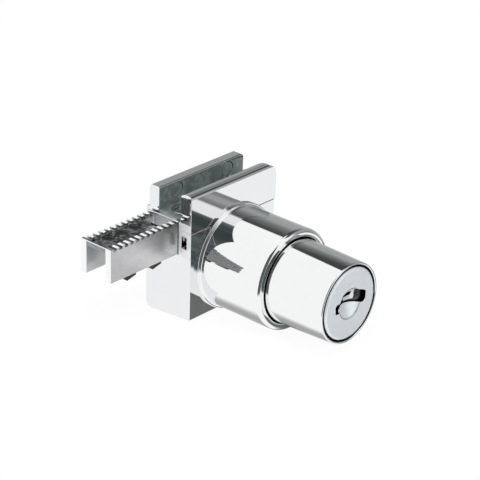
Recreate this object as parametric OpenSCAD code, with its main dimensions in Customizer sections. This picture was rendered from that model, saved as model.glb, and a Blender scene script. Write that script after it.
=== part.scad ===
// Push lock for a glass cabinet door: a clamp block for the edge of the glass, a keyed push
// barrel, and a toothed rack rail that a comb inside the block meshes with.
// Origin: middle of the seat that the glass edge stands on. +Z up, +X right seen from the
// front, and the barrel points to -Y. Millimetres.

/* [Glass channel] */
// Width of the channel that takes the glass and its lining
glass_gap = 6.9; // [5.9:0.1:8.4]
// Height of the front jaw above the seat
jaw_rise = 6.4; // [5.4:0.1:9]
// Height of the back plate above the seat
plate_rise = 5.8; // [5:0.1:8]

/* [Block] */
// Width of the block along the edge of the glass
block_w = 29.8; // [29:0.1:36]
// How far the block's right end stands in under the jaw
end_step = 0.4; // [0:0.1:1]
// Thickness of the front jaw
jaw_t = 3.4; // [3.2:0.1:4.5]
// Thickness of the back plate
plate_t = 3.2; // [3:0.1:4.5]
// How far the block's back stands behind the back plate
back_step = 1.0; // [0.8:0.1:2]
// Depth of the seam between jaw and block below the seat
seam_drop = 3.1; // [2.9:0.1:3.5]
// Radius of the jaw's upper right corner
jaw_corner = 3; // [1:0.1:4]
// Radius along the upper edges
edge_r = 0.8; // [0.3:0.1:1.2]
// Metal left between the seat and the rack tunnel
seat_t = 0.9; // [0.8:0.1:1.5]
// Extra depth of the block under the barrel bore, at the front
keel_front = 1.7; // [1.3:0.1:4]
// Extra depth of the block under the barrel bore, at the back
keel_back = 2.7; // [1.3:0.1:5]

/* [Jaw lining] */
// Thickness of the lining strip in the jaw
pad_t = 2.85; // [1.5:0.05:2.9]
// Height of the lining strip
pad_h = 4; // [3:0.1:4.6]
// Distance from the seat up to the lining strip
pad_lift = 1.4; // [0.4:0.1:1.5]
// How far the lining stands out into the channel
pad_proud = 0.05; // [0:0.01:0.2]

/* [Seat buttons] */
// Diameter of a seat button
button_d = 6; // [4:0.1:6.4]
// Thickness of a seat button
button_t = 0.5; // [0.3:0.05:0.6]
// Distance of a seat button from the middle of the seat
button_x = 10.1; // [8:0.1:11]

/* [Clamp screws] */
// Thread diameter of a clamp screw
clamp_d = 4; // [3:0.1:4]
// Distance of a clamp screw from the middle
clamp_x = 8.8; // [6:0.1:11]
// Height of the clamp screws above the seat
clamp_z = 3.3; // [2.6:0.1:3.5]
// Thickness of the swivel tip's disc
tip_t = 0.7; // [0.5:0.05:0.9]
// Across flats of the hexagon socket
hex_af = 2; // [1.5:0.1:2]

/* [Barrel] */
// Diameter of the push barrel where it slides
push_d = 20.9; // [20.6:0.1:21.2]
// Diameter of the push barrel at its rim
rim_d = 20; // [19.8:0.1:20.4]
// Depth of the barrel axis below the seat
axis_drop = 13.4; // [13.4:0.1:16]
// Sideways distance of the barrel axis from the middle of the block
axis_x = 0.4; // [0:0.1:0.8]
// Push stroke
stroke = 5; // [4.6:0.1:5]
// Wall of the guide sleeve
sleeve_wall = 2.12; // [1.97:0.05:2.97]
// Length of the guide sleeve in front of the block
sleeve_l = 19.1; // [18:0.1:21]
// How far the collar stands out of the sleeve
collar_lip = 0.75; // [0.7:0.05:1.4]
// Thickness of the sleeve's collar
collar_t = 0.8; // [0.5:0.1:1.5]
// Depth of the sleeve's spigot in the block
spigot_l = 2; // [1.2:0.1:2.2]
// Radius of the sleeve's outer rim
sleeve_rim = 1; // [0.4:0.1:1.2]
// Radius of the sleeve's inner edge
sleeve_mouth = 0.5; // [0.3:0.05:0.6]

/* [Lock core] */
// Diameter of the key plug's face
face_d = 18; // [17.4:0.1:18]
// How far the key plug's face stands in front of the rim
face_proud = 0.2; // [0:0.1:0.6]
// Thickness of the key plug's head
head_t = 2; // [1.6:0.1:2.4]
// Radius round the edge of the key plug's face
face_edge = 0.8; // [0.2:0.1:1]
// Wall of the push barrel round the core
push_wall = 2.15; // [2:0.05:2.3]
// Wall of the core shell
shell_wall = 1.6; // [1.5:0.05:1.8]
// Length of the core shell
shell_l = 20.3; // [19:0.1:21]
// Diameter of the dish round the keyway
dish_d = 8; // [6:0.1:9]
// Depth of the dish
dish_t = 1.1; // [0.4:0.1:1.2]
// Width of the keyway
key_w = 9.8; // [8:0.1:10]
// Height of the keyway
key_h = 1.7; // [1.4:0.1:2]
// Depth of the keyway's mouth
mouth_t = 3.2; // [1.6:0.1:3.2]
// Turn of the keyway away from level
key_tilt = 5; // [0:1:8]
// Number of wafers
wafer_n = 6; // [3:1:6]
// Thickness of a wafer
wafer_t = 1.2; // [0.9:0.1:1.3]
// Height of a wafer
wafer_h = 4.4; // [4:0.1:4.6]
// Distance from wafer to wafer
wafer_pitch = 2.7; // [2.5:0.1:2.8]
// Travel of a wafer when the key leaves
wafer_lift = 0.45; // [0.3:0.05:0.5]
// Mean diameter of a wafer spring
wafer_spring_d = 0.84; // [0.7:0.02:0.9]

/* [Catch] */
// Diameter of the catch pin
catch_d = 2.4; // [2:0.1:2.6]
// How far the catch pin stands out of the push barrel
catch_out = 0.75; // [0.5:0.05:0.8]
// How far the cam draws the catch pin in
catch_draw = 0.8; // [0.8:0.05:0.9]
// Distance of the catch pin from the block's face
catch_h = 8; // [7.8:0.1:8.2]
// Diameter of the release cam
cam_d = 15; // [14.6:0.1:15.2]
// Thickness of the release cam
cam_t = 1.2; // [1:0.1:1.3]
// Space between the catch pin's head and the cam
catch_gap = 1.05; // [0.9:0.05:1.3]

/* [Return spring] */
// Mean diameter of the return spring
spring_d = 3.4; // [3:0.1:3.5]
// Wire diameter of the return spring
spring_wire = 0.6; // [0.4:0.05:0.7]
// Turns of the return spring
spring_turns = 8; // [5:1:9]

/* [Comb] */
// Width of the comb
comb_w = 5; // [4.6:0.1:5.4]
// Thickness of the comb
comb_t = 1; // [0.8:0.1:1]
// Number of fingers on the comb
finger_n = 3; // [1:2:3]
// Width of the carrier's tail
tail_w = 6; // [4:0.1:6.4]
// Height of the carrier's tail
tail_h = 4.2; // [3.4:0.1:4.4]
// Length of the comb screw's thread
comb_screw_l = 4.4; // [3:0.1:4.6]
// Head diameter of the comb screw
comb_screw_head = 3.2; // [2.6:0.1:3.4]

/* [Rear cover] */
// Thickness of the rear cover
cover_t = 1.2; // [1:0.1:1.4]
// Width of the cover's flange beside the cavity
cover_flange = 4; // [3.8:0.1:4.4]
// Length of a cover screw's thread
cover_screw_l = 4; // [3:0.1:4.2]
// Head diameter of a cover screw
cover_screw_head = 3.2; // [2.6:0.1:3.4]

/* [Rack] */
// Length of the rack to the left of the seat's middle
rack_left = 36.9; // [36:0.1:60]
// Width of the rack across its walls
rack_w = 9.75; // [9.7:0.05:9.8]
// Thickness of the rack's walls
rack_wall = 1.75; // [1.7:0.05:1.8]
// Height of the rack's walls
rack_h = 8.4; // [8:0.1:9]
// Height of the teeth above the web
tooth_h = 0.7; // [0.6:0.05:0.8]
// Thickness of the rack's web
web_t = 0.7; // [0.5:0.05:1.2]
// Distance from tooth to tooth
pitch = 1.8; // [1.8:0.05:2]
// Width of a notch
notch_w = 0.95; // [0.9:0.05:1]
// Plain length before the first notch
rack_plain = 0.95; // [0.6:0.05:2]
// Travel of the rack to the right, in teeth
teeth_in = 2; // [1:1:2]
// Travel of the rack to the left, in teeth
teeth_out = 3; // [1:1:3]
// Length of the open pocket in front of the block
pocket_l = 4.3; // [3:0.1:6]
// Thickness of the block at the rack's right end
end_l = 3; // [2:0.1:5]

/* [Rack liner] */
// Thickness of the liner's sheet
liner_t = 0.4; // [0.3:0.05:0.6]
// Diameter of a stud that shows in the web
stud_d = 3; // [1.5:0.1:3.2]
// Depth of a stud's top below the web's top
stud_sink = 0.4; // [0.1:0.05:0.5]
// Distance from stud to stud
stud_pitch = 4.25; // [3.8:0.05:4.6]
// Length of a foot
foot_l = 3.8; // [3:0.1:4.2]
// Width of the leg that carries a foot
leg_w = 1.2; // [0.8:0.1:2.4]
// Distance from the rack's left end to the first foot
foot_start = 4.4; // [3.6:0.1:5]
// Drop of a foot below the rack's walls
foot_drop = 1.1; // [0.6:0.1:1.1]
// Distance from foot to foot
foot_pitch = 8.35; // [7:0.05:9]

/* [Clearances] */
// Sliding clearance on each side
slide_gap = 0.08; // [0.05:0.01:0.1]
// Clearance round a seated piece
seat_gap = 0.04; // [0.02:0.01:0.08]
// Clearance round the rack in its tunnel
tunnel_gap = 0.1; // [0.05:0.01:0.15]
// Free space before a stop
stop_gap = 0.15; // [0.1:0.05:0.3]

/* [Hidden] */
$fn = 96;
eps = 0.01;
cut = 1;

// Planes of the block
half_w = block_w / 2;
jaw_y = -glass_gap / 2;
plate_y = glass_gap / 2;
front_y = jaw_y - jaw_t;
seat_break = pad_proud + 0.05;
seam_gap = 0.05;
plate_corner = 1;
back_y = plate_y + plate_t + back_step;

// Rack and tunnel, seen along X. The rack runs behind the jaw, clear of the block's back.
tunnel_wall = 0.6;
rack_y0 = jaw_y + tunnel_wall + tunnel_gap;
rack_y1 = rack_y0 + rack_w;
rack_top = -seat_t - tunnel_gap;
web_top = rack_top - tooth_h;
rack_bottom = rack_top - rack_h;
inner_y0 = rack_y0 + rack_wall;
inner_y1 = rack_y1 - rack_wall;
tunnel_z = rack_bottom - tunnel_gap;

// Teeth along X. The comb's middle finger stands in the notch nearest to the barrel axis.
first_notch = -rack_left + rack_plain + notch_w / 2;
comb_x = first_notch + pitch * round((axis_x - first_notch) / pitch);
comb_x0 = comb_x - comb_w / 2;
comb_x1 = comb_x + comb_w / 2;
slot_x0 = comb_x0 - stop_gap - teeth_in * pitch;
slot_x1 = comb_x1 + stop_gap + teeth_out * pitch;
pocket_x1 = -half_w - 0.1;
pocket_x0 = pocket_x1 - pocket_l;
rack_right = slot_x1 + end_l;
notch_n = floor((rack_right - pitch / 2 - first_notch) / pitch) + 1;

// Radii of the barrel. Distances h below are in front of the block's face.
push_r = push_d / 2;
bore_r = push_r + slide_gap;
sleeve_r = bore_r + sleeve_wall;
collar_r = sleeve_r + collar_lip;
collar_foot = 0.4;
spigot_r = bore_r + 1.12;
rear_h = stroke - 2.4;
bore_depth = stroke - rear_h + 0.2;
core_gap = 0.05;
core_bore_r = push_r - push_wall;
shell_r = core_bore_r - core_gap;
plug_bore_r = shell_r - shell_wall;
plug_r = plug_bore_r - core_gap;
head_bore_r = face_d / 2 + 0.08;
rim_groove = 0.4;
rim_bead = 0.3;

// Catch pin: its head, its lug in the cam's window and its spring
catch_r = catch_d / 2;
catch_end = push_r + catch_out;
head_r0 = 5.6;
head_plate = 0.8;
head_half = 1.7;
lug_r = 0.6;
lug_at = head_r0 + head_plate / 2;
lug_gap = 0.05;
catch_spring_r = 0.95;
catch_wire = 0.35;

// Stack of the push barrel from the catch out to the rim: cam, partition, core and face
partition_t = 1.2;
cam_h0 = catch_h + head_half + catch_gap;
cam_h1 = cam_h0 + cam_t;
partition_h0 = cam_h1 + 0.3;
partition_h1 = partition_h0 + partition_t;
shell_h0 = partition_h1 + 0.15;
shell_h1 = shell_h0 + shell_l;
head_h = shell_h1 + 0.1;
face_h = head_h + head_t;
rim_h = face_h - face_proud;
dish_r = dish_d / 2;
dish_ball = (dish_r * dish_r + dish_t * dish_t) / 2 / dish_t;

// Rear of the push barrel: cam's cavity, carrier disc and ring
cavity_r = cam_d / 2 + 0.4;
tang_r = 2.9;
tang_hole_r = tang_r + 0.1;
tang_square = 3.2;
cam_head_t = 0.8;
cam_head_r = 1.7;
disc_r = core_bore_r - core_gap;
disc_t = 1.5;
ring_h0 = rear_h + 0.5;
ring_t = 0.6;
ring_w = 1.35;
ring_slit = 3.6;
ring_out = core_bore_r + 0.45;
ring_in = ring_out - ring_w;
disc_h0 = ring_h0 + ring_t + 0.05;
disc_h1 = disc_h0 + disc_t;
boss_r = 3;
boss_h1 = cam_h0 - cam_head_t - 0.3;
spring_flat = 2.8;

// Carriage cavity under the rack, for tail and comb. Heights are above the barrel axis.
under_rack = axis_drop + rack_bottom;
tail_top = under_rack - 0.6;
tail_bottom = tail_top - tail_h;
comb_y0 = inner_y0 + 0.1;
comb_y1 = comb_y0 + comb_t;
finger_w = notch_w - 0.2;
finger_end = rack_y1 - 0.05 - stroke;
finger_z0 = web_top + 0.1;
finger_z1 = rack_top - 0.05;
comb_thread_r = 0.9;
comb_head_t = 0.8;
cover_y0 = back_y - cover_t;
cavity_w = tail_w + 2.4;
cavity_z0 = tail_bottom - 0.9;
cover_w = cavity_w + 2 * cover_flange;
cover_z1 = under_rack - 0.8;
cover_z0 = cavity_z0 - cover_flange;
cover_screw_x = cavity_w / 2 + cover_flange / 2 + 0.1;
cover_screw_z = (cover_z0 + cover_z1) / 2;
cover_thread_r = 0.8;
cover_head_t = 0.6;

// Return spring in its blind bore below the cavity
spring_z = cavity_z0 - 1.05 - spring_d / 2 - spring_wire / 2 - 0.25;
spring_bore_r = spring_d / 2 + spring_wire / 2 + 0.25;
spring_y1 = cover_y0 - 0.9;

// Clamp screws
clamp_r = clamp_d / 2;
clamp_bore_r = clamp_r + 0.05;
screw_l = plate_t - tip_t - 0.35;
stem_r = 0.7;
socket_t = 1.1;

// Dowels of the jaw, and the recess in each end of the block
pin_r = 0.75;
pin_l = 7;
pin_x = half_w - 2.6;
recess_w = 3.4;
recess_h = 3;
recess_z = -7.4;
recess_in = 1.4;

// Guide pin of the sleeve and locking pin of the core
guide_r = 1;
guide_in = push_r - 1.05;
core_pin_r = 1;
core_pin_h = shell_h0 + 2.4;

// Lug and spring of a wafer
lug_x = 1.7;
lug_w = 1;
lug_z = 1.7;
spring_x1 = 3.2;
wafer_wire = 0.22;

// Rack: height of the bridge, length of the closed end, and the liner's studs and feet
bridge_h = 3.1;
web_end = 0.5;
foot_x = -rack_left + foot_start;
stud_n = 3;
stud_start = 5.6;
stud_y = inner_y1 - stud_d / 2 - 0.2;
function stud_x(i) = -rack_left + stud_start + i * stud_pitch;
function wafer_at(i) = shell_h1 - 2.2 - i * wafer_pitch;

// Arc points for outlines, from angle a0 to a1 round (cx, cy)
function arc(cx, cy, r, a0, a1, n = 6) =
    [for (i = [0:n]) [cx + r * cos(a0 + (a1 - a0) * i / n), cy + r * sin(a0 + (a1 - a0) * i / n)]];

// A profile of (radius, distance in front) turned about the barrel axis
module turned(points) {
    rotate([90, 0, 0]) rotate_extrude() polygon(points);
}

// A round bar along the barrel axis from distance h0 to h1
module bar(r, h0, h1) {
    translate([0, -h0, 0]) rotate([90, 0, 0]) cylinder(r = r, h = h1 - h0);
}

// A flat outline in X and Z, thick from distance h0 to h1
module slab(h0, h1) {
    translate([0, -h0, 0]) rotate([90, 0, 0]) linear_extrude(h1 - h0) children();
}

// Puts the children at the barrel axis, on the block's front face
module at_barrel() {
    translate([axis_x, front_y, -axis_drop]) children();
}

// Extrudes an outline in Y and Z along X
module along_x(x0, x1) {
    translate([x0, 0, 0]) rotate([90, 0, 90]) linear_extrude(x1 - x0) children();
}

// A box from its lowest to its highest corner
module box(a, b) {
    translate(a) cube(b - a);
}

// A countersunk or pan head screw along +Y, its head's face at the origin
module small_screw(r, head_r, head_t, length) {
    difference() {
        union() {
            rotate([-90, 0, 0]) cylinder(r = head_r, h = head_t);
            translate([0, head_t - eps, 0]) rotate([-90, 0, 0]) cylinder(r = r, h = length);
        }
        for (a = [0, 90])
            rotate([0, a, 0]) box([-head_r * 0.62, -cut, -0.2], [head_r * 0.62, 0.4, 0.2]);
    }
}

// One unbroken round wire, coiled along +Z, with closed end turns
module coil(r, wire, length, turns, sides = 6, rings = 8) {
    n = turns * rings;
    low = wire / 2;
    rise = length - wire;
    function lift(t) = t < 1 ? t * wire * 1.02 :
        t > turns - 1 ? rise - (turns - t) * wire * 1.02 :
        wire * 1.02 + (t - 1) / (turns - 2) * (rise - 2.04 * wire);
    points = [for (i = [0:n]) let (t = i / rings, a = 360 * t)
        for (j = [0:sides - 1]) let (b = 360 * j / sides, q = r + wire / 2 * cos(b))
            [q * cos(a), q * sin(a), low + lift(t) + wire / 2 * sin(b)]];
    walls = [for (i = [0:n - 1]) for (j = [0:sides - 1]) let (k = (j + 1) % sides)
        each [[i * sides + j, (i + 1) * sides + j, i * sides + k],
            [i * sides + k, (i + 1) * sides + j, (i + 1) * sides + k]]];
    polyhedron(points, concat([[for (j = [0:sides - 1]) j]], walls,
        [[for (j = [sides - 1:-1:0]) n * sides + j]]), convexity = 8);
}

// The space that the rack slides in
module tunnel_space() {
    box([-half_w - cut, rack_y0 - tunnel_gap, tunnel_z],
        [half_w + cut, rack_y1 + tunnel_gap, -seat_t]);
}

// The barrel's spigot seat and bore, cut into block and jaw
module barrel_space() {
    at_barrel() {
        bar(spigot_r + seat_gap, -spigot_l - 0.1, cut);
        bar(bore_r, -bore_depth, cut);
    }
}

// The push lock's block: seat, back plate, rack tunnel and barrel bore in one casting
module housing() {
    outline = concat(
        [[front_y, -seam_drop], [front_y, -axis_drop - bore_r - keel_front]],
        arc(back_y - 1.5, -axis_drop - bore_r - keel_back + 1.5, 1.5, -90, 0),
        arc(back_y - 0.3, -0.3, 0.3, 0, 90, 3),
        [[plate_y + plate_t, 0]],
        arc(plate_y + plate_t - edge_r, plate_rise - edge_r, edge_r, 0, 90),
        arc(plate_y + 0.3, plate_rise - 0.3, 0.3, 90, 180, 3),
        [[plate_y, 0], [jaw_y + seat_break, 0], [jaw_y, -seat_break], [jaw_y, -seam_drop]]);
    color([0.86, 0.87, 0.88]) difference() {
        along_x(-half_w, half_w - end_step) polygon(outline);
        // Round the back plate's upper right corner
        translate([half_w - end_step - plate_corner, plate_y - eps, plate_rise - plate_corner])
            difference() {
                box([0, 0, 0], [plate_corner + cut, plate_t + cut, plate_corner + cut]);
                translate([0, -cut, 0]) rotate([-90, 0, 0])
                    cylinder(r = plate_corner, h = plate_t + 3 * cut);
            }
        tunnel_space();
        barrel_space();
        // Recess in each end, with the jaw's dowel behind it
        for (side = [-1, 1])
            translate([side * (half_w - 1.5), front_y + recess_in, recess_z])
                box([-recess_w / 2, 0, 0], [recess_w / 2, 1.6, recess_h]);
        // Holes for the jaw's dowels
        for (side = [-1, 1])
            translate([side * pin_x, front_y + jaw_t / 2, -seam_drop - pin_l / 2 - 0.1])
                cylinder(r = pin_r + seat_gap, h = pin_l, $fn = 32);
        // Recesses for the seat buttons
        for (side = [-1, 1])
            translate([side * button_x, 0, -button_t - 0.05])
                cylinder(r = button_d / 2 + seat_gap, h = cut + button_t);
        // Threaded holes for the clamp screws
        for (side = [-1, 1])
            translate([side * clamp_x, plate_y - cut, clamp_z]) rotate([-90, 0, 0])
                cylinder(r = clamp_bore_r, h = plate_t + 2 * cut);
        at_barrel() {
            // Carriage cavity, open to the tunnel above it and to the bore in front
            box([comb_x - axis_x - cavity_w / 2, bore_depth - eps, cavity_z0],
                [comb_x - axis_x + cavity_w / 2, cover_y0 - front_y + eps, under_rack]);
            // Blind bore of the return spring
            translate([0, bore_depth - eps, spring_z]) rotate([-90, 0, 0])
                cylinder(r = spring_bore_r, h = spring_y1 - front_y - bore_depth + 0.05);
            // Recess and screw holes of the rear cover
            box([comb_x - axis_x - cover_w / 2 - seat_gap, cover_y0 - front_y, cover_z0 - seat_gap],
                [comb_x - axis_x + cover_w / 2 + seat_gap, back_y - front_y + cut,
                cover_z1 + seat_gap]);
            for (side = [-1, 1])
                translate([comb_x - axis_x + side * cover_screw_x, cover_y0 - front_y + cut,
                    cover_screw_z]) rotate([90, 0, 0])
                    cylinder(r = cover_thread_r + 0.05, h = cover_screw_l + 0.2 + cut, $fn = 32);
        }
    }
}

// Front jaw with a rounded upper edge, a lining recess open at its left end, and dowel holes
module front_jaw() {
    outline = concat(
        [[front_y, -seam_drop + seam_gap]],
        [[jaw_y, -seam_drop + seam_gap]],
        [[jaw_y, jaw_rise - 0.2], [jaw_y - 0.2, jaw_rise]],
        arc(front_y + edge_r, jaw_rise - edge_r, edge_r, 90, 180));
    color([0.87, 0.88, 0.89]) difference() {
        intersection() {
            along_x(-half_w, half_w) polygon(outline);
            translate([0, jaw_y + cut, 0]) rotate([90, 0, 0]) linear_extrude(jaw_t + 2 * cut)
                polygon(concat([[-half_w, -seam_drop], [half_w, -seam_drop]],
                    arc(half_w - jaw_corner, jaw_rise - jaw_corner, jaw_corner, 0, 90, 8),
                    arc(-half_w + 0.4, jaw_rise - 0.4, 0.4, 90, 180, 3)));
        }
        lining_space(seat_gap);
        barrel_space();
        for (side = [-1, 1])
            translate([side * pin_x, front_y + jaw_t / 2, -seam_drop - cut])
                cylinder(r = pin_r + seat_gap, h = pin_l / 2 + cut + 0.1, $fn = 32);
    }
}

// The lining strip's room: round cornered in section, open to the channel and to the left
module lining_space(gap) {
    r = 0.7;
    y0 = jaw_y + pad_proud - pad_t - gap;
    z0 = pad_lift - gap;
    z1 = pad_lift + pad_h + gap;
    along_x(-half_w - (gap > 0 ? cut : -0.15), half_w - jaw_corner + gap)
        polygon(concat(
            arc(y0 + r, z0 + r, r, 180, 270, 4),
            [[jaw_y + pad_proud + (gap > 0 ? cut : 0), z0]],
            [[jaw_y + pad_proud + (gap > 0 ? cut : 0), z1]],
            arc(y0 + r, z1 - r, r, 90, 180, 4)));
}

// Two dowels that hold the jaw on the block
module jaw_pins() {
    color([0.6, 0.6, 0.62]) for (side = [-1, 1])
        translate([side * pin_x, front_y + jaw_t / 2, -seam_drop - pin_l / 2])
            cylinder(r = pin_r, h = pin_l, $fn = 32);
}

// Dark lining strip that the glass leans on
module glass_pad() {
    color([0.16, 0.17, 0.17]) lining_space(0);
}

// Two plated buttons in the seat, each with a round hollow inside a flat ring
module seat_buttons() {
    hollow_r = button_d / 2 - 0.6;
    hollow_t = button_t - 0.12;
    ball = (hollow_r * hollow_r + hollow_t * hollow_t) / 2 / hollow_t;
    color([0.75, 0.77, 0.76]) for (side = [-1, 1])
        translate([side * button_x, 0, -0.02]) rotate_extrude()
            polygon(concat([[0, -button_t], [button_d / 2, -button_t],
                [button_d / 2, -0.1], [button_d / 2 - 0.1, 0]],
                arc(0, ball - hollow_t, ball, asin(hollow_r / ball) - 90, -90, 8)));
}

// Guide sleeve: collar, rounded rim, spigot, and the catch's groove and pocket
module outer_sleeve() {
    color([0.88, 0.89, 0.9]) at_barrel() difference() {
        turned(concat(
            [[bore_r, -spigot_l], [spigot_r, -spigot_l], [spigot_r, 0], [collar_r, 0]],
            arc(collar_r - 0.25, collar_t - 0.25, 0.25, 0, 90, 3),
            arc(sleeve_r + collar_foot, collar_t + collar_foot, collar_foot, 270, 180, 4),
            arc(sleeve_r - sleeve_rim, sleeve_l - sleeve_rim, sleeve_rim, 0, 90),
            arc(bore_r + sleeve_mouth, sleeve_l - sleeve_mouth, sleeve_mouth, 90, 180)));
        // Groove that the catch pin rides in, and the pocket that it drops into
        intersection() {
            box([-catch_r - 0.2, -catch_h - catch_r - 0.15, -catch_end - 0.15],
                [catch_r + 0.2, -catch_h + stroke + catch_r + 0.15, 0]);
            bar(catch_end + 0.15, 0, sleeve_l);
        }
        translate([0, -catch_h + stroke, -catch_end - 0.8])
            cylinder(r = catch_r + 0.2, h = 2, $fn = 48);
        // Hole of the guide pin
        translate([0, -catch_h, 0]) rotate([0, 90, 0])
            cylinder(r = guide_r + 0.02, h = sleeve_r + cut, $fn = 48);
    }
}

// Guide pin through the sleeve into the push barrel's slot
module guide_pin() {
    color([0.6, 0.6, 0.62]) at_barrel() translate([guide_in, -catch_h, 0]) rotate([0, 90, 0])
        cylinder(r = guide_r, h = sleeve_r - 0.15 - guide_in, $fn = 48);
}

// Rear cover of the carriage cavity, sunk flush in the block's back
module rear_cover() {
    color([0.8, 0.81, 0.82]) at_barrel() difference() {
        translate([comb_x - axis_x, 0, 0])
            box([-cover_w / 2, cover_y0 - front_y, cover_z0],
                [cover_w / 2, back_y - front_y - 0.02, cover_z1]);
        for (side = [-1, 1])
            translate([comb_x - axis_x + side * cover_screw_x, back_y - front_y + cut, cover_screw_z])
                rotate([90, 0, 0]) {
                    cylinder(r = cover_thread_r + 0.25, h = cut + cover_t + cut, $fn = 32);
                    cylinder(r = cover_screw_head / 2 + 0.05, h = cut + cover_head_t + 0.15, $fn = 48);
                }
    }
}

// Two screws that hold the rear cover
module cover_screws() {
    color([0.55, 0.56, 0.58]) at_barrel() for (side = [-1, 1])
        translate([comb_x - axis_x + side * cover_screw_x, back_y - front_y - 0.1, cover_screw_z])
            rotate([0, 0, 180])
                small_screw(cover_thread_r, cover_screw_head / 2, cover_head_t, cover_screw_l);
}

// A clamp screw in the back plate, with its hexagon socket at the back
module clamp_screw(side) {
    color([0.5, 0.51, 0.53]) translate([side * clamp_x, plate_y + tip_t + 0.15, clamp_z])
        rotate([-90, 0, 0]) difference() {
            cylinder(r = clamp_r, h = screw_l, $fn = 48);
            translate([0, 0, -cut]) cylinder(r = stem_r + 0.05, h = cut + 0.8, $fn = 32);
            translate([0, 0, screw_l - socket_t])
                cylinder(r = hex_af / 2 / cos(30), h = socket_t + cut, $fn = 6);
        }
}

// The swivel tip that presses on the glass
module clamp_tip(side) {
    color([0.7, 0.71, 0.72]) translate([side * clamp_x, plate_y + 0.1, clamp_z])
        rotate([-90, 0, 0]) {
            cylinder(r = clamp_r - 0.15, h = tip_t, $fn = 48);
            cylinder(r = stem_r, h = tip_t + 0.7, $fn = 32);
        }
}

// Push barrel: drafted nose with a rolled rim, core bore, partition and rear cavity
module push_barrel() {
    rr = rim_d / 2;
    color([0.87, 0.88, 0.89]) at_barrel() difference() {
        turned(concat(
            [[push_r - 0.3, rear_h], [push_r, rear_h + 0.3], [push_r, sleeve_l + 0.3]],
            arc(rr - rim_bead, rim_h - rim_bead, rim_bead, 0, 180, 8),
            [[face_d / 2 + rim_groove, rim_h - rim_bead], [face_d / 2 + rim_groove, head_h + 0.9],
            [head_bore_r, head_h + 0.9], [head_bore_r, shell_h1 + 0.05],
            [core_bore_r, shell_h1 + 0.05], [core_bore_r, partition_h1],
            [tang_hole_r, partition_h1], [tang_hole_r, partition_h0], [cavity_r, partition_h0],
            [cavity_r, disc_h1 + 0.02], [core_bore_r, disc_h1 + 0.02],
            [core_bore_r, ring_h0 + ring_t + 0.03], [ring_out + 0.05, ring_h0 + ring_t + 0.03],
            [ring_out + 0.05, ring_h0 - 0.03], [core_bore_r, ring_h0 - 0.03],
            [core_bore_r, rear_h]]));
        // Hole of the catch pin
        translate([0, -catch_h, -push_r - cut])
            cylinder(r = catch_r + 0.06, h = push_r + cut, $fn = 48);
        // Slot of the guide pin
        box([guide_in - 0.15, -catch_h - stroke - guide_r - 0.1, -guide_r - 0.08],
            [push_r + cut, -catch_h + guide_r + 0.1, guide_r + 0.08]);
        // Hole of the core's locking pin
        translate([0, -core_pin_h, 0]) cylinder(r = core_pin_r + 0.02, h = push_r + cut, $fn = 32);
    }
}

// Shell of the lock core, with wafer grooves where the key comes out
module core_shell() {
    groove = plug_r + wafer_lift + 0.3;
    color([0.72, 0.65, 0.42]) at_barrel() rotate([0, -key_tilt, 0]) difference() {
        bar(shell_r, shell_h0, shell_h1);
        bar(plug_bore_r, shell_h0 + 0.6, shell_h1 + cut);
        bar(tang_hole_r, shell_h0 - cut, shell_h1);
        intersection() {
            bar(groove, shell_h0 + 1.2, shell_h1 + cut);
            for (a = [0, 90]) rotate([0, a, 0])
                box([-groove - cut, -shell_h1 - 2 * cut, -wafer_h / 2 - 0.2],
                    [groove + cut, -shell_h0, wafer_h / 2 + 0.2]);
        }
        rotate([0, key_tilt, 0]) translate([0, -core_pin_h, shell_r - 0.7])
            cylinder(r = core_pin_r + 0.05, h = 2, $fn = 32);
    }
}

// Pin that locks the core's shell in the push barrel
module core_pin() {
    color([0.6, 0.6, 0.62]) at_barrel() translate([0, -core_pin_h, shell_r - 0.65])
        cylinder(r = core_pin_r, h = push_r - shell_r + 0.5, $fn = 32);
}

// Disc at the rear of the push barrel, with the tail that carries the comb under the rack
module bolt_carrier() {
    color([0.66, 0.67, 0.69]) at_barrel() difference() {
        union() {
            bar(disc_r, disc_h0, disc_h1);
            bar(boss_r, disc_h1 - eps, boss_h1);
            box([comb_x - axis_x - tail_w / 2, -disc_h0 - eps, tail_bottom],
                [comb_x - axis_x + tail_w / 2, comb_y0 - front_y - 0.02, tail_top]);
        }
        // Flat that the catch spring stands on
        box([-1.4, -boss_h1 - cut, -boss_r - cut], [1.4, -disc_h1 - 0.4, -spring_flat]);
        // Threaded hole of the comb's screw
        translate([comb_x - axis_x, comb_y0 - front_y + cut, (tail_top + tail_bottom) / 2])
            rotate([90, 0, 0])
                cylinder(r = comb_thread_r + 0.05, h = cut + comb_screw_l + 0.1, $fn = 32);
    }
}

// Split ring behind the carrier's disc
module carrier_ring() {
    color([0.55, 0.56, 0.58]) at_barrel() difference() {
        bar(ring_out, ring_h0, ring_h0 + ring_t);
        bar(ring_in, ring_h0 - cut, ring_h0 + ring_t + cut);
        box([-ring_slit / 2, -ring_h0 - ring_t - cut, 0],
            [ring_slit / 2, -ring_h0 + cut, ring_out + cut]);
    }
}

// Comb: an arm that rises inside the rack, with fingers that enter the back wall's notches
module locking_comb() {
    color([0.66, 0.67, 0.69]) difference() {
        union() {
            box([comb_x0, comb_y0, -axis_drop + tail_bottom],
                [comb_x1, comb_y1, finger_z1]);
            for (i = [0:finger_n - 1]) let (x = comb_x + (i - (finger_n - 1) / 2) * pitch)
                box([x - finger_w / 2, comb_y1 - eps, finger_z0],
                    [x + finger_w / 2, finger_end, finger_z1]);
        }
        translate([comb_x, comb_y0 - cut, -axis_drop + (tail_top + tail_bottom) / 2])
            rotate([-90, 0, 0]) cylinder(r = comb_thread_r + 0.15, h = comb_t + 2 * cut, $fn = 32);
    }
}

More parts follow.
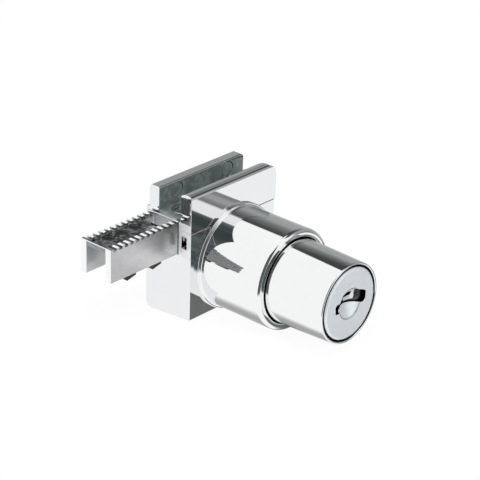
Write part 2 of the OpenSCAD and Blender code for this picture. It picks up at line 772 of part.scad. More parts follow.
// Screw that holds the comb on the carrier's tail
module comb_screw() {
    color([0.55, 0.56, 0.58])
        translate([comb_x, comb_y1 + comb_head_t + 0.02, -axis_drop + (tail_top + tail_bottom) / 2])
            rotate([0, 0, 180])
                small_screw(comb_thread_r, comb_screw_head / 2, comb_head_t, comb_screw_l);
}

// Return spring between the carrier's disc and the blind bore
module return_spring() {
    color([0.7, 0.71, 0.73]) translate([axis_x, front_y - disc_h0 + 0.03, -axis_drop + spring_z])
        rotate([-90, 0, 0])
            coil(spring_d / 2, spring_wire, spring_y1 - front_y + disc_h0 - 0.06, spring_turns);
}

// The keyway's mouth as it shows in the face, drawn for a keyway 9.8 wide and 1.7 high: a foot
// at the left, a hook over a ward that hangs from the top, a slanting bar and a lobe
module key_mouth() {
    scale([key_w / 9.8, key_h / 1.7]) polygon([[-5.25, -0.53], [-5.23, 1.27], [-4.83, 1.75],
        [-3.87, 1.69], [-3.26, 2.07], [-2.61, 3.22], [-1.89, 3.55], [-0.81, 3.32], [0.81, 2.88],
        [1.06, 2.58], [0.7, 1.81], [-1.18, 2.26], [-1.9, 2.41], [-1.97, 1.65], [-1.36, 1.12],
        [0.99, 0.53], [1.9, 0.35], [2.1, 1.1], [1.75, 2.9], [2.46, 2.9], [3.92, 2.1],
        [5.2, 1.45], [5.74, 0.86], [5.52, -0.84], [4.93, -1.38], [4.27, -1.42], [2.08, -0.57],
        [-1.19, 0.5], [-2.62, 0.8], [-3.7, 0.81], [-4.17, 0.5], [-4.24, -0.26],
        [-3.78, -0.67], [-4.21, -0.84]]);
}

// Key plug: dished face with a rounded edge, body with wafer slots, and a square tang
module key_plug() {
    fr = face_d / 2;
    color([0.78, 0.8, 0.82]) at_barrel() rotate([0, -key_tilt, 0]) difference() {
        union() {
            turned(concat([[0, head_h], [fr, head_h]],
                arc(fr - face_edge, face_h - face_edge, face_edge, 0, 90, 8), [[0, face_h]]));
            bar(plug_r, shell_h0 + 0.7, head_h + eps);
            bar(tang_r, partition_h0 - 0.1, shell_h0 + 0.7 + eps);
            box([-tang_square / 2, -partition_h0, -tang_square / 2],
                [tang_square / 2, -cam_h0, tang_square / 2]);
        }
        // Dish round the keyway
        turned(concat(arc(0, face_h - dish_t + dish_ball, dish_ball, -90,
            asin(dish_r / dish_ball) - 90, 12), [[dish_r, face_h + cut], [0, face_h + cut]]));
        slab(face_h - mouth_t, face_h + cut) key_mouth();
        slab(shell_h0 + 1.9, face_h - mouth_t + eps) square([key_w - 1, key_h], center = true);
        for (i = [0:wafer_n - 1]) translate([0, -wafer_at(i), 0]) {
            box([-plug_r - cut, -wafer_t / 2 - 0.05, -wafer_h / 2 - 0.05],
                [plug_r + cut, wafer_t / 2 + 0.05, wafer_h / 2 + 0.05]);
            box([-lug_x - 0.1, -wafer_t / 2 - 0.05, 0],
                [spring_x1, wafer_t / 2 + 0.05, wafer_h / 2 + lug_z + 0.1]);
        }
        // Threaded hole of the cam's screw
        bar(0.85, cam_h0 - cut, cam_h0 + 3.5);
    }
}

// Wafers, drawn as they lie with the key in, each with a window and a spring lug
module wafers() {
    reach_x = sqrt(plug_r * plug_r - wafer_h * wafer_h / 4) - 0.05;
    color([0.8, 0.68, 0.35]) at_barrel() rotate([0, -key_tilt, 0])
        for (i = [0:wafer_n - 1]) slab(wafer_at(i) - wafer_t / 2, wafer_at(i) + wafer_t / 2)
            difference() {
                union() {
                    square([2 * reach_x, wafer_h], center = true);
                    translate([-lug_x, 0]) square([lug_w, wafer_h / 2 + lug_z]);
                }
                translate([(i % 3 - 1) * 0.2, 0]) square([key_w - 0.4, key_h + 0.6], center = true);
            }
}

// Wafer springs, each between a wafer's lug and the end of its pocket
module wafer_springs() {
    color([0.7, 0.71, 0.73]) at_barrel() rotate([0, -key_tilt, 0])
        for (i = [0:wafer_n - 1])
            translate([lug_w - lug_x + 0.03, -wafer_at(i), wafer_h / 2 + lug_z / 2 + 0.1])
                rotate([0, 90, 0])
                    coil(wafer_spring_d / 2, wafer_wire, spring_x1 - lug_w + lug_x - 0.06, 5);
}

// Release cam: its window's outer edge draws the catch pin in over a quarter turn
module release_cam() {
    edge = lug_at + lug_r + lug_gap;
    color([0.62, 0.63, 0.65]) at_barrel() slab(cam_h0, cam_h1) difference() {
        circle(r = cam_d / 2);
        polygon(concat(
            [for (a = [-104:6:-92]) edge * [cos(a), sin(a)]],
            [for (a = [-90:5:0]) (edge - catch_draw * (a + 90) / 90) * [cos(a), sin(a)]],
            [for (a = [4:5:14]) (edge - catch_draw) * [cos(a), sin(a)]],
            [for (a = [14:-8:-104]) 3.4 * [cos(a), sin(a)]]));
        rotate(key_tilt) square(tang_square + 2 * seat_gap, center = true);
    }
}

// Screw that holds the cam on the plug's tang
module cam_screw() {
    color([0.55, 0.56, 0.58]) at_barrel() translate([0, -cam_h0 + cam_head_t + 0.02, 0])
        rotate([0, 0, 180]) small_screw(0.8, cam_head_r, cam_head_t, 3.2);
}

// Catch pin with its head and the lug that reaches into the cam's window
module catch_pin() {
    color([0.66, 0.67, 0.69]) at_barrel() {
        translate([0, -catch_h, -catch_end]) cylinder(r = catch_r, h = catch_end - head_r0, $fn = 48);
        box([-head_half, -catch_h - head_half, -head_r0 - head_plate],
            [head_half, -catch_h + head_half, -head_r0]);
        translate([0, 0, -lug_at]) bar(lug_r, catch_h, cam_h1 - 0.1, $fn = 32);
    }
}

// Spring between the carrier's boss and the catch pin's head
module catch_spring() {
    color([0.7, 0.71, 0.73]) at_barrel() translate([0, -catch_h, -head_r0 + 0.03])
        coil(catch_spring_r, catch_wire, head_r0 - spring_flat - 0.06, 5);
}

// Rack rail: two toothed walls, a web, an open pocket, a bridge and an end block
module rack_bar() {
    color([0.8, 0.81, 0.82]) difference() {
        box([-rack_left, rack_y0, rack_bottom], [rack_right, rack_y1, rack_top]);
        // Room under the web, as far as the bridge
        box([-rack_left - cut, inner_y0, rack_bottom - cut],
            [pocket_x0, inner_y1, web_top - web_t]);
        // Above the web the walls alone carry the teeth
        box([-rack_left + web_end, inner_y0, web_top], [pocket_x1, inner_y1, rack_top + cut]);
        // Open pocket in front of the block
        box([pocket_x0, inner_y0, rack_bottom - cut], [pocket_x1, inner_y1, rack_top + cut]);
        // Under the bridge
        box([pocket_x1 - eps, inner_y0, rack_bottom - cut],
            [slot_x0 + eps, inner_y1, rack_top - bridge_h]);
        // Long slot that the comb stands in
        box([slot_x0, inner_y0, rack_bottom - cut], [slot_x1, inner_y1, rack_top + cut]);
        // Notches in both walls
        for (i = [0:notch_n - 1]) let (x = first_notch + i * pitch) {
            box([x - notch_w / 2, rack_y0 - cut, web_top],
                [x + notch_w / 2, inner_y0 + eps, rack_top + cut]);
            box([x - notch_w / 2, inner_y1 - eps, web_top],
                [x + notch_w / 2, rack_y1 + cut, rack_top + cut]);
        }
        // Holes of the liner's studs
        for (i = [0:stud_n - 1]) translate([stud_x(i), stud_y, web_top - web_t - cut])
            cylinder(r = stud_d / 2 + seat_gap, h = web_t + 2 * cut, $fn = 48);
    }
}

// Black liner under the web: studs up into the web's holes, two legs and their wedge feet
module rack_liner() {
    z1 = web_top - web_t - 0.02;
    color([0.07, 0.07, 0.08]) {
        box([-rack_left + 0.6, inner_y0 + 0.03, z1 - liner_t],
            [pocket_x0 - 0.2, inner_y1 - 0.03, z1]);
        for (i = [0:stud_n - 1]) translate([stud_x(i), stud_y, z1 - liner_t])
            cylinder(r = stud_d / 2, h = liner_t + web_t - stud_sink + 0.02, $fn = 48);
        for (k = [0:1]) translate([foot_x + k * foot_pitch, 0, 0]) {
            box([(foot_l - leg_w) / 2, inner_y0 + 0.03, rack_bottom - 0.4],
                [(foot_l + leg_w) / 2, inner_y0 + liner_t, z1]);
            translate([0, inner_y0 + liner_t, rack_bottom - 0.03]) rotate([90, 0, 0])
                linear_extrude(rack_wall + liner_t - 0.05)
                    polygon([[0, 0], [foot_l * 0.24, -foot_drop], [foot_l, -foot_drop * 0.4],
                        [foot_l, 0]]);
        }
    }
}

housing();
front_jaw();
jaw_pins();
glass_pad();
seat_buttons();
outer_sleeve();
guide_pin();
rear_cover();
cover_screws();
clamp_screw(-1);  // clamp_screw_left
clamp_screw(1);  // clamp_screw_right
clamp_tip(-1);  // clamp_tip_left
clamp_tip(1);  // clamp_tip_right
push_barrel();
core_shell();
core_pin();
bolt_carrier();
carrier_ring();
locking_comb();
comb_screw();
return_spring();
key_plug();
release_cam();
cam_screw();
wafers();
wafer_springs();
catch_pin();
catch_spring();
rack_bar();
rack_liner();
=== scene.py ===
import math
from typing import NamedTuple

import bmesh
import bpy
from bpy.props import FloatProperty, FloatVectorProperty, IntProperty, PointerProperty
from mathutils import Matrix, Vector


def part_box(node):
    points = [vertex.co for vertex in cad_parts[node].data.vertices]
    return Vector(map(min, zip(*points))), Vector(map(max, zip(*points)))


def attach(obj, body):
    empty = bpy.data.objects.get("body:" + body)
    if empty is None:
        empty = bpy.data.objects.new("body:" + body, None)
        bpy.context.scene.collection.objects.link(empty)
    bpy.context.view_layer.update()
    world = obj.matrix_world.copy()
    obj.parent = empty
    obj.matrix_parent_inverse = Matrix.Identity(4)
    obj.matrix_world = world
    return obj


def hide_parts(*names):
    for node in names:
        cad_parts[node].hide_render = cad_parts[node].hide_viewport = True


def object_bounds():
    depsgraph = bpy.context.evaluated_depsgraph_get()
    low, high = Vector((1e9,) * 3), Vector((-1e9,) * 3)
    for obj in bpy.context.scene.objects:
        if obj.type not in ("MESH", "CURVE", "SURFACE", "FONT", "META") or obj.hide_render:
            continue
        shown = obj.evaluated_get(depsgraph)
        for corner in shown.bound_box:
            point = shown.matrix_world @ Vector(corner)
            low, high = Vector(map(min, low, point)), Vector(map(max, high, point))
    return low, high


bl_info = {
    "name": "Glass door push lock",
    "version": (1, 0, 0),
    "blender": (4, 5, 0),
    "location": "View3D > Sidebar > Door lock",
    "description": "Builds the finished look of a push lock for a glass cabinet door",
    "category": "Object",
}

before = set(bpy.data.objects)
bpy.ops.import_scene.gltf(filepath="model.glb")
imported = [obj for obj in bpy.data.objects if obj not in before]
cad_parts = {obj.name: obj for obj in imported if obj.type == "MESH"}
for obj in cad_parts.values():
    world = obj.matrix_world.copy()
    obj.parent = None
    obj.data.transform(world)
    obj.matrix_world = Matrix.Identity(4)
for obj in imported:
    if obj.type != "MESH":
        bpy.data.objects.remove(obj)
CAD_LOW, CAD_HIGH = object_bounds()
MM = 0.001


# Sizes and colours that a user would change

def length(name, description, default):
    return FloatProperty(name=name, description=description, default=default, min=0.0, max=1.0,
                         subtype="DISTANCE", unit="LENGTH", precision=5)


def colour(name, description, default):
    return FloatVectorProperty(name=name, description=description, default=default, size=3,
                               subtype="COLOR", min=0.0, max=1.0)


class DoorLockSizes(bpy.types.PropertyGroup):
    cast_edge: length("Cast edge", "Rounding on the edges of block and jaw", 0.12 * MM)
    jaw_crown: length("Jaw crown", "Radius of the bow across the jaw's top", 3.5 * MM)
    rack_edge: length("Rack edge", "Rounding on the edges of the rack and its teeth", 0.07 * MM)
    fine_edge: length("Fine edge", "Rounding on screws, pins and small parts", 0.05 * MM)
    sleeve_rim: length("Sleeve rim", "Radius of the guide sleeve's outer rim", 1.0 * MM)
    sleeve_foot: length("Sleeve foot", "Fillet between the sleeve and its collar", 0.4 * MM)
    rim_bead: length("Rim bead", "Radius of the rolled bead round the key plug", 0.3 * MM)
    turn_steps: IntProperty(name="Turned steps", description="Flats round a turned piece",
                            default=192, min=48, max=384)


class DoorLockColours(bpy.types.PropertyGroup):
    chrome: colour("Chrome", "Tint of the polished plating on the casting",
                   (0.86, 0.868, 0.876))
    barrel: colour("Barrel chrome", "Tint of the polished plating on the turned pieces",
                   (0.92, 0.926, 0.93))
    rack: colour("Rack chrome", "Tint of the plating on the rack", (0.78, 0.785, 0.795))
    satin: colour("Satin face", "Tint of the key plug's satin face", (0.74, 0.775, 0.79))
    lining: colour("Lining", "Colour of the lining strip", (0.035, 0.042, 0.042))
    liner: colour("Liner", "Colour of the rack's black liner", (0.012, 0.012, 0.013))
    steel: colour("Steel", "Tint of pins and screws", (0.5, 0.51, 0.53))
    wire: colour("Spring wire", "Tint of the springs", (0.6, 0.61, 0.63))
    brass: colour("Brass", "Tint of core shell and wafers", (0.74, 0.55, 0.26))


class DoorLockStage(bpy.types.PropertyGroup):
    azimuth: FloatProperty(name="Azimuth", description="Direction of the camera round the lock",
                           default=math.radians(-48.72), subtype="ANGLE")
    elevation: FloatProperty(name="Elevation", description="Height of the camera above level",
                             default=math.radians(25.59), subtype="ANGLE")
    roll: FloatProperty(name="Roll", description="Tilt of the camera about its line of sight",
                        default=math.radians(1.79), subtype="ANGLE")
    distance: length("Distance", "Distance from the camera to the barrel's foot", 0.4566)
    lens: FloatProperty(name="Lens", description="Focal length on a 36 mm frame",
                        default=142.5)
    floor_drop: length("Floor drop", "Space between the lock and the floor", 0.0002)


# Shader nodes

MIX_UNDER, MIX_OVER, MIX_RESULT = 6, 7, 2  # the Mix node's sockets for colours


def feed(tree, socket, item):
    """Gives a socket its value, or links another socket to it."""
    if isinstance(item, bpy.types.NodeSocket):
        tree.links.new(item, socket)
    else:
        socket.default_value = item


def fed_node(tree, kind, settings, sockets, items):
    """A node of a kind with its settings, whose named or numbered sockets are fed in turn."""
    node = tree.nodes.new(kind)
    for key, value in settings.items():
        setattr(node, key, value)
    for socket, item in zip(sockets, items):
        feed(tree, node.inputs[socket], item)
    return node


def math_node(tree, operation, *values):
    """The output of a Math node."""
    settings = {"operation": operation}
    return fed_node(tree, "ShaderNodeMath", settings, range(3), values).outputs[0]


def vector_node(tree, operation, *values):
    """A Vector Math node."""
    return fed_node(tree, "ShaderNodeVectorMath", {"operation": operation}, range(2), values)


def noise_node(tree, vector, scale, detail, roughness):
    """The grey output of a Noise Texture."""
    sockets = "Vector", "Scale", "Detail", "Roughness"
    items = vector, scale, detail, roughness
    return fed_node(tree, "ShaderNodeTexNoise", {}, sockets, items).outputs["Fac"]


def span(tree, value, low, high, to_low=0.0, to_high=1.0, smooth=False):
    """Maps value from low..high to to_low..to_high, held at both ends."""
    settings = {"interpolation_type": "SMOOTHSTEP" if smooth else "LINEAR"}
    sockets = "Value", "From Min", "From Max", "To Min", "To Max"
    items = value, low, high, to_low, to_high
    return fed_node(tree, "ShaderNodeMapRange", settings, sockets, items).outputs["Result"]


def mix_node(tree, share, under, over):
    """Lays the colour over on the colour under; each is a tone of three numbers or a socket."""
    tones = [(*item, 1) if isinstance(item, tuple) else item for item in (under, over)]
    node = fed_node(tree, "ShaderNodeMix", {"data_type": "RGBA"},
                    ("Factor", MIX_UNDER, MIX_OVER), (share, *tones))
    return node.outputs[MIX_RESULT]


def mix_shaders(tree, share, first, second):
    """The second shader by share, else the first."""
    node = fed_node(tree, "ShaderNodeMixShader", {}, range(3), (share, first, second))
    return node.outputs["Shader"]


def parts_of(tree, vector):
    """The X, Y and Z outputs of a vector."""
    return fed_node(tree, "ShaderNodeSeparateXYZ", {}, range(1), (vector,)).outputs


def surface_point(tree):
    """The place on the surface, in metres."""
    return tree.nodes.new("ShaderNodeTexCoord").outputs["Object"]


# Shader node groups

def new_group(name, inputs, outputs):
    """An empty node group; inputs are (name, kind, default) and outputs are (name, kind)."""
    group = bpy.data.node_groups.new(name, "ShaderNodeTree")
    for label, kind, default in inputs:
        socket = group.interface.new_socket(name=label, in_out="INPUT", socket_type=kind)
        socket.default_value = default
    for label, kind in outputs:
        group.interface.new_socket(name=label, in_out="OUTPUT", socket_type=kind)
    return group, group.nodes.new("NodeGroupInput").outputs, group.nodes.new("NodeGroupOutput")


def haze_group(name):
    """Uneven gloss of a handled surface: roughness between two values, in soft patches."""
    group, given, out = new_group(
        name,
        [("Scale", "NodeSocketFloat", 120.0), ("Low", "NodeSocketFloat", 0.05),
         ("High", "NodeSocketFloat", 0.1)],
        [("Roughness", "NodeSocketFloat")])
    point = surface_point(group)
    broad = noise_node(group, point, given["Scale"], 3.0, 0.55)
    fine_scale = math_node(group, "MULTIPLY", given["Scale"], 9.0)
    fine = noise_node(group, point, fine_scale, 4.0, 0.6)
    mixed = math_node(group, "ADD", math_node(group, "MULTIPLY", broad, 0.75),
                      math_node(group, "MULTIPLY", fine, 0.25))
    roughness = span(group, mixed, 0.35, 0.65, given["Low"], given["High"])
    feed(group, out.inputs["Roughness"], roughness)
    return group


def tone_group(name):
    """Slight drift of a colour over the surface, darker in patches."""
    group, given, out = new_group(
        name,
        [("Color", "NodeSocketColor", (0.8, 0.8, 0.8, 1)), ("Amount", "NodeSocketFloat", 0.05),
         ("Scale", "NodeSocketFloat", 90.0)],
        [("Color", "NodeSocketColor")])
    drift = noise_node(group, surface_point(group), given["Scale"], 4.0, 0.6)
    loss = math_node(group, "MULTIPLY", drift, given["Amount"])
    scaled = vector_node(group, "SCALE", given["Color"])
    feed(group, scaled.inputs["Scale"], math_node(group, "SUBTRACT", 1.0, loss))
    feed(group, out.inputs["Color"], scaled.outputs[0])
    return group


def ripple_group(name):
    """Height of plated or moulded skin: a slow ripple with a fine grain on it."""
    group, given, out = new_group(
        name,
        [("Ripple", "NodeSocketFloat", 60.0), ("Grain", "NodeSocketFloat", 2500.0),
         ("Grain Share", "NodeSocketFloat", 0.2)],
        [("Height", "NodeSocketFloat")])
    point = surface_point(group)
    slow = noise_node(group, point, given["Ripple"], 1.0, 0.4)
    fine = noise_node(group, point, given["Grain"], 3.0, 0.6)
    grain = math_node(group, "MULTIPLY", fine, given["Grain Share"])
    feed(group, out.inputs["Height"], math_node(group, "ADD", slow, grain))
    return group


def box_group(name):
    """Mask of the surface between two corners."""
    group, given, out = new_group(
        name,
        [("Low", "NodeSocketVector", (0, 0, 0)), ("High", "NodeSocketVector", (0, 0, 0)),
         ("Soft", "NodeSocketFloat", 0.00005)],
        [("Mask", "NodeSocketFloat")])
    point, low, high = (parts_of(group, source)
                        for source in (surface_point(group), given["Low"], given["High"]))
    mask = None
    for axis in "XYZ":
        for over, under in ((point, low), (high, point)):
            space = math_node(group, "SUBTRACT", over[axis], under[axis])
            share = span(group, space, 0.0, given["Soft"])
            mask = share if mask is None else math_node(group, "MULTIPLY", mask, share)
    feed(group, out.inputs["Mask"], mask)
    return group


def recess_group(name):
    """Mask of the steep or deep surface behind a face that looks to -Y, such as a keyway's."""
    group, given, out = new_group(
        name,
        [("Face", "NodeSocketFloat", 0.0), ("Deep", "NodeSocketFloat", 0.0013)],
        [("Mask", "NodeSocketFloat")])
    edge = 0.1 * MM
    points = group.nodes.new("ShaderNodeTexCoord").outputs
    place, facing = (parts_of(group, points[key]) for key in ("Object", "Normal"))
    depth = math_node(group, "SUBTRACT", place["Y"], given["Face"])
    flat = math_node(group, "ABSOLUTE", facing["Y"])
    steep = math_node(group, "MULTIPLY", span(group, flat, 0.35, 0.6, 1.0, 0.0),
                      span(group, depth, 0.0, edge))
    deep = span(group, math_node(group, "SUBTRACT", depth, given["Deep"]), 0.0, edge)
    feed(group, out.inputs["Mask"], math_node(group, "MAXIMUM", steep, deep))
    return group


def bore_group(name):
    """Mask of the surface between two radii of an axis along Y, such as inside a rolled rim."""
    group, given, out = new_group(
        name,
        [("Axis", "NodeSocketVector", (0, 0, 0)), ("Hollow", "NodeSocketFloat", 0.0),
         ("Radius", "NodeSocketFloat", 0.01), ("Soft", "NodeSocketFloat", 0.0001)],
        [("Mask", "NodeSocketFloat")])
    off = vector_node(group, "SUBTRACT", surface_point(group), given["Axis"]).outputs[0]
    across = vector_node(group, "MULTIPLY", off, (1, 0, 1)).outputs[0]
    far = vector_node(group, "LENGTH", across).outputs["Value"]
    spaces = (math_node(group, "SUBTRACT", given["Radius"], far),
              math_node(group, "SUBTRACT", far, given["Hollow"]))
    shares = [span(group, space, 0.0, given["Soft"]) for space in spaces]
    feed(group, out.inputs["Mask"], math_node(group, "MULTIPLY", *shares))
    return group


GROUP_MAKERS = {"handling_haze": haze_group, "tone_drift": tone_group,
                "skin_ripple": ripple_group, "box_field": box_group,
                "recess_field": recess_group, "bore_field": bore_group}


def placed(tree, name, **values):
    """Places a shared group, made at its first use, in a material and sets its inputs."""
    node = tree.nodes.new("ShaderNodeGroup")
    node.node_tree = bpy.data.node_groups.get(name) or GROUP_MAKERS[name](name)
    for key, value in values.items():
        node.inputs[key.replace("_", " ").title()].default_value = value
    return node


# Finishes

class Field(NamedTuple):
    """Part of a finish that is satin, or that carries painted shade or painted light: the group
    that masks it and that group's values, two tones that mix in patches, roughness, scale of the
    patches, metal."""
    mask: str
    values: dict
    tones: tuple
    rough: float
    patches: float
    metal: float


SKIN_LIFT = 0.02 * MM
# painted shade, black, for grooves, gaps and the keyway's walls
BLACK_SHADE = (0.008, 0.009, 0.009), (0.016, 0.017, 0.018)
# painted shade in the channel between jaw and back plate: dark grey, little metal
CHANNEL_SHADE = (0.15, 0.182, 0.178), (0.25, 0.285, 0.28)
# painted highlight: pale, less glossy tones for the rack's tooth tops, wall ends and pocket
PALE_HIGHLIGHT = (0.93, 0.935, 0.94), (0.98, 0.98, 0.98)
BEYOND = 20  # mm, further than either end of the block


def finish_material(name, base, metallic, gloss, haze=120.0, drift=0.05, ripple=60.0,
                    grain=2500.0, grain_share=0.2, bump=0.02, fields=()):
    """A finish with roughness between the two of gloss, a drifting tone and a rippled skin,
    and its fields over them in turn. The shader stays in the material."""
    material = bpy.data.materials.new(name)
    material.use_nodes = True
    tree = material.node_tree
    shader = tree.nodes["Principled BSDF"]
    tone = placed(tree, "tone_drift", color=(*base, 1), amount=drift, scale=haze * 0.8)
    colour_out = tone.outputs["Color"]
    rough_out = placed(tree, "handling_haze", scale=haze, low=gloss[0],
                       high=gloss[1]).outputs["Roughness"]
    metal_out = metallic
    for field in fields:
        mask = placed(tree, field.mask, **field.values).outputs["Mask"]
        noise = noise_node(tree, surface_point(tree), field.patches, 3.0, 0.6)
        patch = span(tree, noise, 0.4, 0.62, smooth=True)
        colour_out = mix_node(tree, mask, colour_out, mix_node(tree, patch, *field.tones))
        rough_out = span(tree, mask, 0.0, 1.0, rough_out, field.rough)
        metal_out = span(tree, mask, 0.0, 1.0, metal_out, field.metal)
    skin = placed(tree, "skin_ripple", ripple=ripple, grain=grain, grain_share=grain_share)
    bumped = fed_node(tree, "ShaderNodeBump", {}, ("Strength", "Distance", "Height"),
                      (bump, SKIN_LIFT, skin.outputs["Height"]))
    for socket, item in (("Base Color", colour_out), ("Metallic", metal_out),
                         ("Roughness", rough_out), ("Normal", bumped.outputs["Normal"])):
        feed(tree, shader.inputs[socket], item)
    return material


def box_field(low, high, tones, rough, patches=420.0, soft=0.05, metal=1.0):
    """A field between two corners in mm."""
    values = {"low": Vector(low) * MM, "high": Vector(high) * MM, "soft": soft * MM}
    return Field("box_field", values, tones, rough, patches, metal)


def ring_field(inner, outer, soft, tones, patches=900.0, metal=1.0):
    """A field between two radii in mm round the barrel's axis."""
    values = {"axis": barrel_axis(), "hollow": inner * MM, "radius": outer * MM,
              "soft": soft * MM}
    return Field("bore_field", values, tones, 0.4, patches, metal)


def channel_shade_field(front, back):
    """Painted shade in the channel, between two places in mm across it."""
    floor, top = -0.3, 5.8
    return box_field((-BEYOND, front, floor), (BEYOND, back, top), CHANNEL_SHADE, 0.34,
                     metal=0.3)


def block_fields():
    """Painted shade in the channel, and painted light on the lower left end of the block."""
    # painted light: the lower left end of the block, beside the rack, made a brighter and less
    # metallic grey
    block_end_light = box_field((-16, -7.2, -9.6), (-14.83, -2.76, -0.9),
                          ((0.74, 0.75, 0.755), (0.8, 0.81, 0.815)), 0.3, metal=0.35)
    return channel_shade_field(-3.5, 3.51), block_end_light


def key_fields():
    """Painted shade: a grey ring at the dish's edge, black on the keyway's walls, and a dim grey
    deep in the keyway.
    """
    face_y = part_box("key_plug")[0].y
    # painted shade on the key plug's face and in its keyway
    dish_edge_shade = ring_field(3.45, 4.03, 0.22, ((0.26, 0.285, 0.285), (0.42, 0.45, 0.45)), 500.0,
                           0.5)
    walls = Field("recess_field", {"face": face_y, "deep": 1.25 * MM}, BLACK_SHADE, 0.5, 900.0, 1.0)
    deep = box_field((-BEYOND, face_y / MM + 1.5, -40), (BEYOND, 0, 0),
                     ((0.2, 0.24, 0.23), (0.3, 0.34, 0.33)), 0.5, 900.0, 0.4, 0.2)
    return dish_edge_shade, walls, deep


def rack_fields(tint):
    """Where the rack is satin, and where painted shade and painted highlights lie on it. Later
    fields lie over earlier ones.
    """
    (x0, y0, z0), (x1, y1, z1) = (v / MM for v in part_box("rack_bar"))
    wall, web, pocket = 1.75, z1 - 0.7, x1 - 27.4
    inner_y0, inner_y1 = y0 + wall - 0.02, y1 - wall + 0.02
    satin_wall = (0.66, 0.655, 0.67), (0.7, 0.695, 0.71)
    # shade, corner, web_end, mottled and grey are painted shade; satin_wall is the wall's own
    # satin plating
    shade = (0.22, 0.245, 0.24), (0.48, 0.51, 0.5)
    corner = (0.06, 0.072, 0.07), (0.11, 0.125, 0.123)
    web_end = (0.27, 0.285, 0.285), (0.33, 0.345, 0.345)
    mottled = (0.06, 0.07, 0.072), (0.44, 0.47, 0.47)
    grey = tuple(0.8 * v for v in tint), tuple(0.86 * v for v in tint)
    return (
        # front wall in satin, then the painted shade in its corner at the block
        box_field((x0 + 0.06, y0 - 1, z0 - 1), (pocket + 8, y0 + 0.06, z1 - 0.05), satin_wall,
                  0.27, metal=0.8),
        box_field((pocket - 8, y0 - 7, z0 + 1.8), (pocket + 14, y0 + 6.06, z1 + 7), corner,
                  0.3, soft=6.0, metal=0.6),
        # painted highlights on the tops of the teeth and on the ends of both walls
        box_field((x0 + 1.1, y0 - 1, z1 - 0.05), (pocket + 8, y1 + 1, 0), PALE_HIGHLIGHT, 0.5,
                  metal=0.4),
        box_field((x0 - 1, y0 - 1, z0 - 1), (x0 + 0.06, y1 + 1, z1 + 1), PALE_HIGHLIGHT, 0.3),
        # inside, painted shade on the walls, on the web's end, in the notches and in mottled
        # patches on the web's top; a painted highlight in the pocket
        box_field((x0 - 1, inner_y0, z0 - 1), (pocket, inner_y1, z1 - 0.12), grey, 0.4,
                  metal=0.5),
        box_field((x0 - 1, inner_y0, z0 - 1), (x0 + 0.06, inner_y1, z1 - 0.2), web_end, 0.4),
        box_field((x0 + 1.2, y0 + 0.08, web - 0.3), (pocket + 8, y1 - 0.08, z1 - 0.12), shade,
                  0.3, 900.0, 0.04),
        box_field((x0 + 0.12, inner_y0, web - 0.4), (pocket, inner_y1, z1 + 1), mottled, 0.3,
                  700.0, 0.04),
        box_field((pocket + 0.5, inner_y0, z0 - 1), (pocket + 8, inner_y1, z1 - 0.1), PALE_HIGHLIGHT,
                  0.22))


def finishes():
    """What each finish of the lock is made of, by the record's slot name."""
    tint = bpy.context.scene.door_lock_colours
    # painted shade, black, in the groove inside the barrel's rolled rim and at the sleeve's mouth
    # round the barrel
    rim_groove_shade = ring_field(1.0, 9.46, 0.03, BLACK_SHADE)
    sleeve_mouth_shade = ring_field(10.46, 10.86, 0.03, BLACK_SHADE)
    steel = {"base": tint.steel, "metallic": 1}
    return {
        "chrome_block": dict(base=tint.chrome, metallic=1, gloss=(0.03, 0.07), ripple=900.0,
                             bump=0.03, fields=block_fields()),
        "chrome_barrel": dict(base=tint.barrel, metallic=1, gloss=(0.02, 0.045),
                              fields=(rim_groove_shade, sleeve_mouth_shade)),
        "chrome_button": dict(base=tint.chrome, metallic=1, gloss=(0.06, 0.14), drift=0.15,
                              bump=0.05),
        "chrome_rack": dict(base=tint.rack, metallic=1, gloss=(0.2, 0.27), drift=0.1,
                            grain_share=0.5, bump=0.06, fields=rack_fields(tint.rack)),
        "satin_face": dict(base=tint.satin, metallic=0.5, gloss=(0.3, 0.4), grain=6000.0,
                           grain_share=0.9, bump=0.12, fields=key_fields()),
        "dark_lining": dict(base=tint.lining, metallic=0, gloss=(0.35, 0.6), haze=260.0,
                            drift=0.35, grain=1800.0, grain_share=0.8, bump=0.25),
        "black_plastic": dict(base=tint.liner, metallic=0, gloss=(0.3, 0.5), drift=0.3,
                              grain=3000.0, grain_share=0.9, bump=0.2),
        "steel_pin": dict(steel, gloss=(0.18, 0.28), drift=0.12),
        "steel_screw": dict(steel, gloss=(0.2, 0.34), drift=0.2, bump=0.08),
        # the clamp tips, from y = 3 to 4.5 mm, carry the channel's painted shade
        "steel_part": dict(steel, gloss=(0.25, 0.4), drift=0.2, bump=0.08,
                           fields=(channel_shade_field(3, 4.5),)),
        "spring_wire": dict(base=tint.wire, metallic=1, gloss=(0.15, 0.25), drift=0.1),
        "brass": dict(base=tint.brass, metallic=1, gloss=(0.2, 0.34), drift=0.2),
    }


def give_finish(mesh, slot):
    """Gives a mesh the finish of its slot, which is made at its first use."""
    name = slot + "_finish"
    mesh.materials.clear()
    mesh.materials.append(bpy.data.materials.get(name)
                          or finish_material(name, **finishes()[slot]))


# Mesh helpers

def added(name, data):
    """A new object in the scene."""
    item = bpy.data.objects.new(name, data)
    bpy.context.scene.collection.objects.link(item)
    return item


def mesh_from(work, name):
    """The finished mesh of a bmesh, which is freed."""
    mesh = bpy.data.meshes.new(name)
    work.to_mesh(mesh)
    work.free()
    return mesh


def place_piece(name, mesh, body, slot, node):
    """Places a finished mesh as a piece that rides on body and stands for a CAD node."""
    piece = added(name, mesh)
    give_finish(mesh, slot)
    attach(piece, body)
    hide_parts(node)


